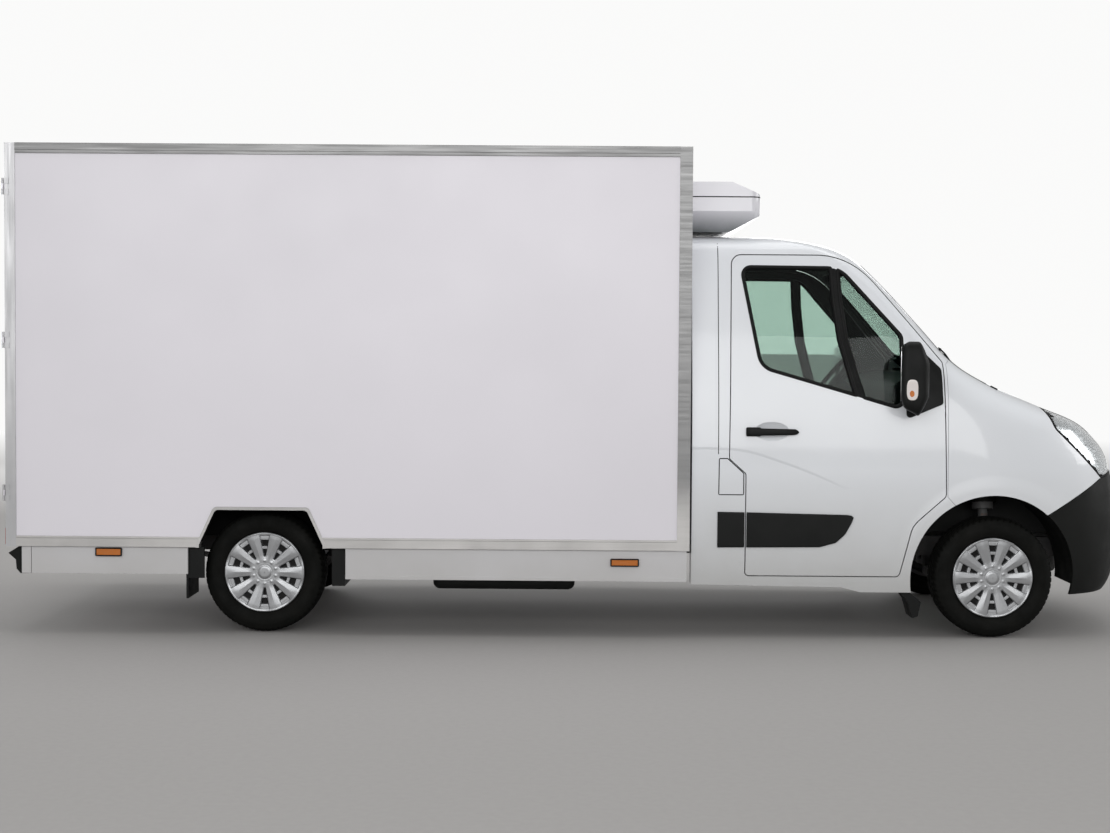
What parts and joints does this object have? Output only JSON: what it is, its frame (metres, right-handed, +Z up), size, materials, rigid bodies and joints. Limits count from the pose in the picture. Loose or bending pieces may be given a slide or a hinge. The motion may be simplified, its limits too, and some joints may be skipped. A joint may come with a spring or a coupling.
{
  "type": "refrigerated truck",
  "caption": "Small refrigerated truck: a van cab with bonnet in front of a smooth insulated box with rear doors and a cooling unit over the cab roof.",
  "frame": {"origin": "on the road, below the middle of the overall length", "axes": "+X forward, +Y to the truck's left, +Z up"},
  "size_m": [6.4561, 2.524, 2.73],
  "materials": {
    "cab_white": "gloss",
    "box_white": "satin",
    "black_plastic": "textured",
    "aluminium": "satin",
    "glass": "polished",
    "lamp": "polished",
    "amber": "polished",
    "red_lamp": "polished",
    "tyre": "matte",
    "wheel_silver": "satin",
    "chassis_black": "satin",
    "steel": "satin",
    "engine": "cast",
    "seat_fabric": "woven",
    "dashboard": "grained",
    "unit_white": "satin"
  },
  "bodies": {
    "truck": {"cab_shell": "cab_white", "front_wings": "cab_white", "front_bumper": "black_plastic", "front_grilles": "black_plastic", "headlamps": "lamp", "windscreen": "glass", "cowl": "black_plastic", "front_carrier": "chassis_black", "arch_liners": "black_plastic", "dashboard": "dashboard", "cab_seats": "seat_fabric", "front_subframe": "chassis_black", "rear_axle": "chassis_black", "leaf_springs": "chassis_black", "chassis_rails": "chassis_black", "crossmembers": "chassis_black", "engine_block": "engine", "fuel_tank": "black_plastic", "exhaust": "steel", "box_floor": "box_white", "box_sides": "box_white", "box_roof": "box_white", "box_front_wall": "box_white", "box_rails": "aluminium", "rear_frame": "aluminium", "side_skirts": "box_white", "mudguards": "black_plastic", "marker_lamps": "amber", "rear_bumper": "black_plastic", "rear_lamps": "red_lamp", "refrigeration_unit": "unit_white", "evaporator": "unit_white"},
    "cab_door_left_body": {"cab_door_left": "cab_white", "door_glass_left": "glass", "mirror_left": "black_plastic"},
    "rear_door_left_body": {"rear_door_left": "box_white"},
    "knuckle_left_body": {"knuckle_left": "chassis_black"},
    "wheel_front_left_body": {"wheel_front_left": "wheel_silver", "tyre_front_left": "tyre"},
    "wheel_rear_left_body": {"wheel_rear_left": "wheel_silver", "tyre_rear_left": "tyre"},
    "cab_door_right_body": {"cab_door_right": "cab_white", "door_glass_right": "glass", "mirror_right": "black_plastic"},
    "rear_door_right_body": {"rear_door_right": "box_white"},
    "knuckle_right_body": {"knuckle_right": "chassis_black"},
    "wheel_front_right_body": {"wheel_front_right": "wheel_silver", "tyre_front_right": "tyre"},
    "wheel_rear_right_body": {"wheel_rear_right": "wheel_silver", "tyre_rear_right": "tyre"},
    "bonnet_body": {"bonnet": "cab_white"},
    "fuel_flap_body": {"fuel_flap": "cab_white"},
    "steering_wheel_body": {"steering_wheel": "dashboard"}
  },
  "joints": [
    {"name": "steer_left", "type": "hinge", "parent": "truck", "child": "knuckle_left_body", "pos_m": [2.3375, 0.758, 0.34], "axis": [0, -0.1736, 0.9848], "range_deg": [-35, 35]},
    {"name": "wheel_front_left_spin", "type": "hinge", "parent": "knuckle_left_body", "child": "wheel_front_left_body", "pos_m": [2.3375, 0.875, 0.34], "axis": [0, 1, 0], "continuous": true},
    {"name": "wheel_rear_left_spin", "type": "hinge", "parent": "truck", "child": "wheel_rear_left_body", "pos_m": [-1.7625, 0.865, 0.34], "axis": [0, 1, 0], "continuous": true},
    {"name": "cab_door_left_hinge", "type": "hinge", "parent": "truck", "child": "cab_door_left_body", "pos_m": [2.0605, 1.037, 1], "axis": [0, 0, -1], "range_deg": [0, 70]},
    {"name": "rear_door_left_hinge", "type": "hinge", "parent": "truck", "child": "rear_door_left_body", "pos_m": [-3.193, 1.0935, 1.5], "axis": [0, 0, -1], "range_deg": [0, 260]},
    {"name": "steer_right", "type": "hinge", "parent": "truck", "child": "knuckle_right_body", "pos_m": [2.3375, -0.758, 0.34], "axis": [0, 0.1736, 0.9848], "range_deg": [-35, 35]},
    {"name": "wheel_front_right_spin", "type": "hinge", "parent": "knuckle_right_body", "child": "wheel_front_right_body", "pos_m": [2.3375, -0.875, 0.34], "axis": [0, 1, 0], "continuous": true},
    {"name": "wheel_rear_right_spin", "type": "hinge", "parent": "truck", "child": "wheel_rear_right_body", "pos_m": [-1.7625, -0.865, 0.34], "axis": [0, 1, 0], "continuous": true},
    {"name": "cab_door_right_hinge", "type": "hinge", "parent": "truck", "child": "cab_door_right_body", "pos_m": [2.0605, -1.037, 1], "axis": [0, 0, 1], "range_deg": [0, 70]},
    {"name": "rear_door_right_hinge", "type": "hinge", "parent": "truck", "child": "rear_door_right_body", "pos_m": [-3.193, -1.0935, 1.5], "axis": [0, 0, 1], "range_deg": [0, 260]},
    {"name": "bonnet_hinge", "type": "hinge", "parent": "truck", "child": "bonnet_body", "pos_m": [2.3375, 0, 1.46], "axis": [0, -1, 0], "range_deg": [0, 50]},
    {"name": "fuel_flap_hinge", "type": "hinge", "parent": "truck", "child": "fuel_flap_body", "pos_m": [0.7865, -1.037, 0.9], "axis": [0, 0, -1], "range_deg": [0, 90]},
    {"name": "steering_wheel_turn", "type": "hinge", "parent": "truck", "child": "steering_wheel_body", "pos_m": [1.5075, -0.42, 1.455], "axis": [-0.766, 0, 0.6428], "range_deg": [-560, 560]}
  ],
  "couplings": [
    {"joint": "steer_right", "follows": "steer_left", "ratio": 1},
    {"joint": "steering_wheel_turn", "follows": "steer_left", "ratio": 16}
  ]
}
